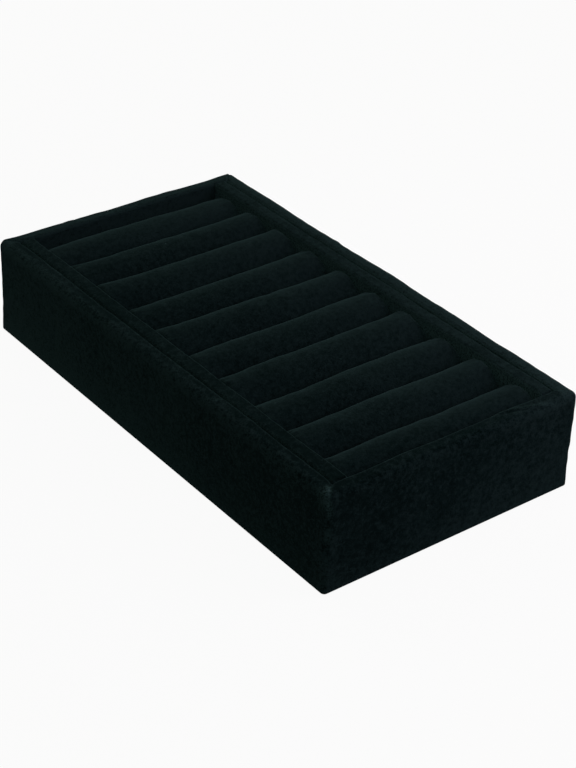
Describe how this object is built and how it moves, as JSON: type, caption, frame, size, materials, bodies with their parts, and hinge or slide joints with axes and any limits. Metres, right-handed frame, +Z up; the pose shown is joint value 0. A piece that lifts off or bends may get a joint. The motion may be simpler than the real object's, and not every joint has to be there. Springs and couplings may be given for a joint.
{
  "type": "ring tray",
  "caption": "Open rectangular jewelry tray in black velvet: padded foam rolls lie side by side between two side rails and hold finger rings in the slits between them.",
  "frame": {"origin": "middle of the underside, on the surface that the tray stands on", "axes": "+X across the tray, along the rolls; +Y along the tray, from the first roll to the last; +Z up"},
  "size_m": [0.108, 0.2, 0.039],
  "materials": {
    "black_velvet": "matte",
    "board": "matte",
    "pin_steel": "satin",
    "base_felt": "matte",
    "floor_cloth": "matte",
    "foam": "matte"
  },
  "bodies": {
    "tray": {"base_board": "board", "front_wall_board": "board", "rear_wall_board": "board", "left_wall_board": "board", "right_wall_board": "board", "left_rail_board": "board", "right_rail_board": "board", "base_felt": "base_felt", "floor_liner": "floor_cloth", "corner_pins": "pin_steel", "base_pins": "pin_steel", "wall_velvet": "black_velvet", "left_rail_velvet": "black_velvet", "right_rail_velvet": "black_velvet"},
    "roll_01": {"roll_01_core": "foam", "roll_01_sleeve": "black_velvet"},
    "roll_02": {"roll_02_core": "foam", "roll_02_sleeve": "black_velvet"},
    "roll_03": {"roll_03_core": "foam", "roll_03_sleeve": "black_velvet"},
    "roll_04": {"roll_04_core": "foam", "roll_04_sleeve": "black_velvet"},
    "roll_05": {"roll_05_core": "foam", "roll_05_sleeve": "black_velvet"},
    "roll_06": {"roll_06_core": "foam", "roll_06_sleeve": "black_velvet"},
    "roll_07": {"roll_07_core": "foam", "roll_07_sleeve": "black_velvet"},
    "roll_08": {"roll_08_core": "foam", "roll_08_sleeve": "black_velvet"},
    "roll_09": {"roll_09_core": "foam", "roll_09_sleeve": "black_velvet"},
    "roll_10": {"roll_10_core": "foam", "roll_10_sleeve": "black_velvet"}
  },
  "joints": [
    {"name": "roll_01_lift", "type": "slide", "parent": "tray", "child": "roll_01", "axis": [0, 0, 1], "range_m": [0, 0.04]},
    {"name": "roll_02_lift", "type": "slide", "parent": "tray", "child": "roll_02", "axis": [0, 0, 1], "range_m": [0, 0.04]},
    {"name": "roll_03_lift", "type": "slide", "parent": "tray", "child": "roll_03", "axis": [0, 0, 1], "range_m": [0, 0.04]},
    {"name": "roll_04_lift", "type": "slide", "parent": "tray", "child": "roll_04", "axis": [0, 0, 1], "range_m": [0, 0.04]},
    {"name": "roll_05_lift", "type": "slide", "parent": "tray", "child": "roll_05", "axis": [0, 0, 1], "range_m": [0, 0.04]},
    {"name": "roll_06_lift", "type": "slide", "parent": "tray", "child": "roll_06", "axis": [0, 0, 1], "range_m": [0, 0.04]},
    {"name": "roll_07_lift", "type": "slide", "parent": "tray", "child": "roll_07", "axis": [0, 0, 1], "range_m": [0, 0.04]},
    {"name": "roll_08_lift", "type": "slide", "parent": "tray", "child": "roll_08", "axis": [0, 0, 1], "range_m": [0, 0.04]},
    {"name": "roll_09_lift", "type": "slide", "parent": "tray", "child": "roll_09", "axis": [0, 0, 1], "range_m": [0, 0.04]},
    {"name": "roll_10_lift", "type": "slide", "parent": "tray", "child": "roll_10", "axis": [0, 0, 1], "range_m": [0, 0.04]}
  ]
}
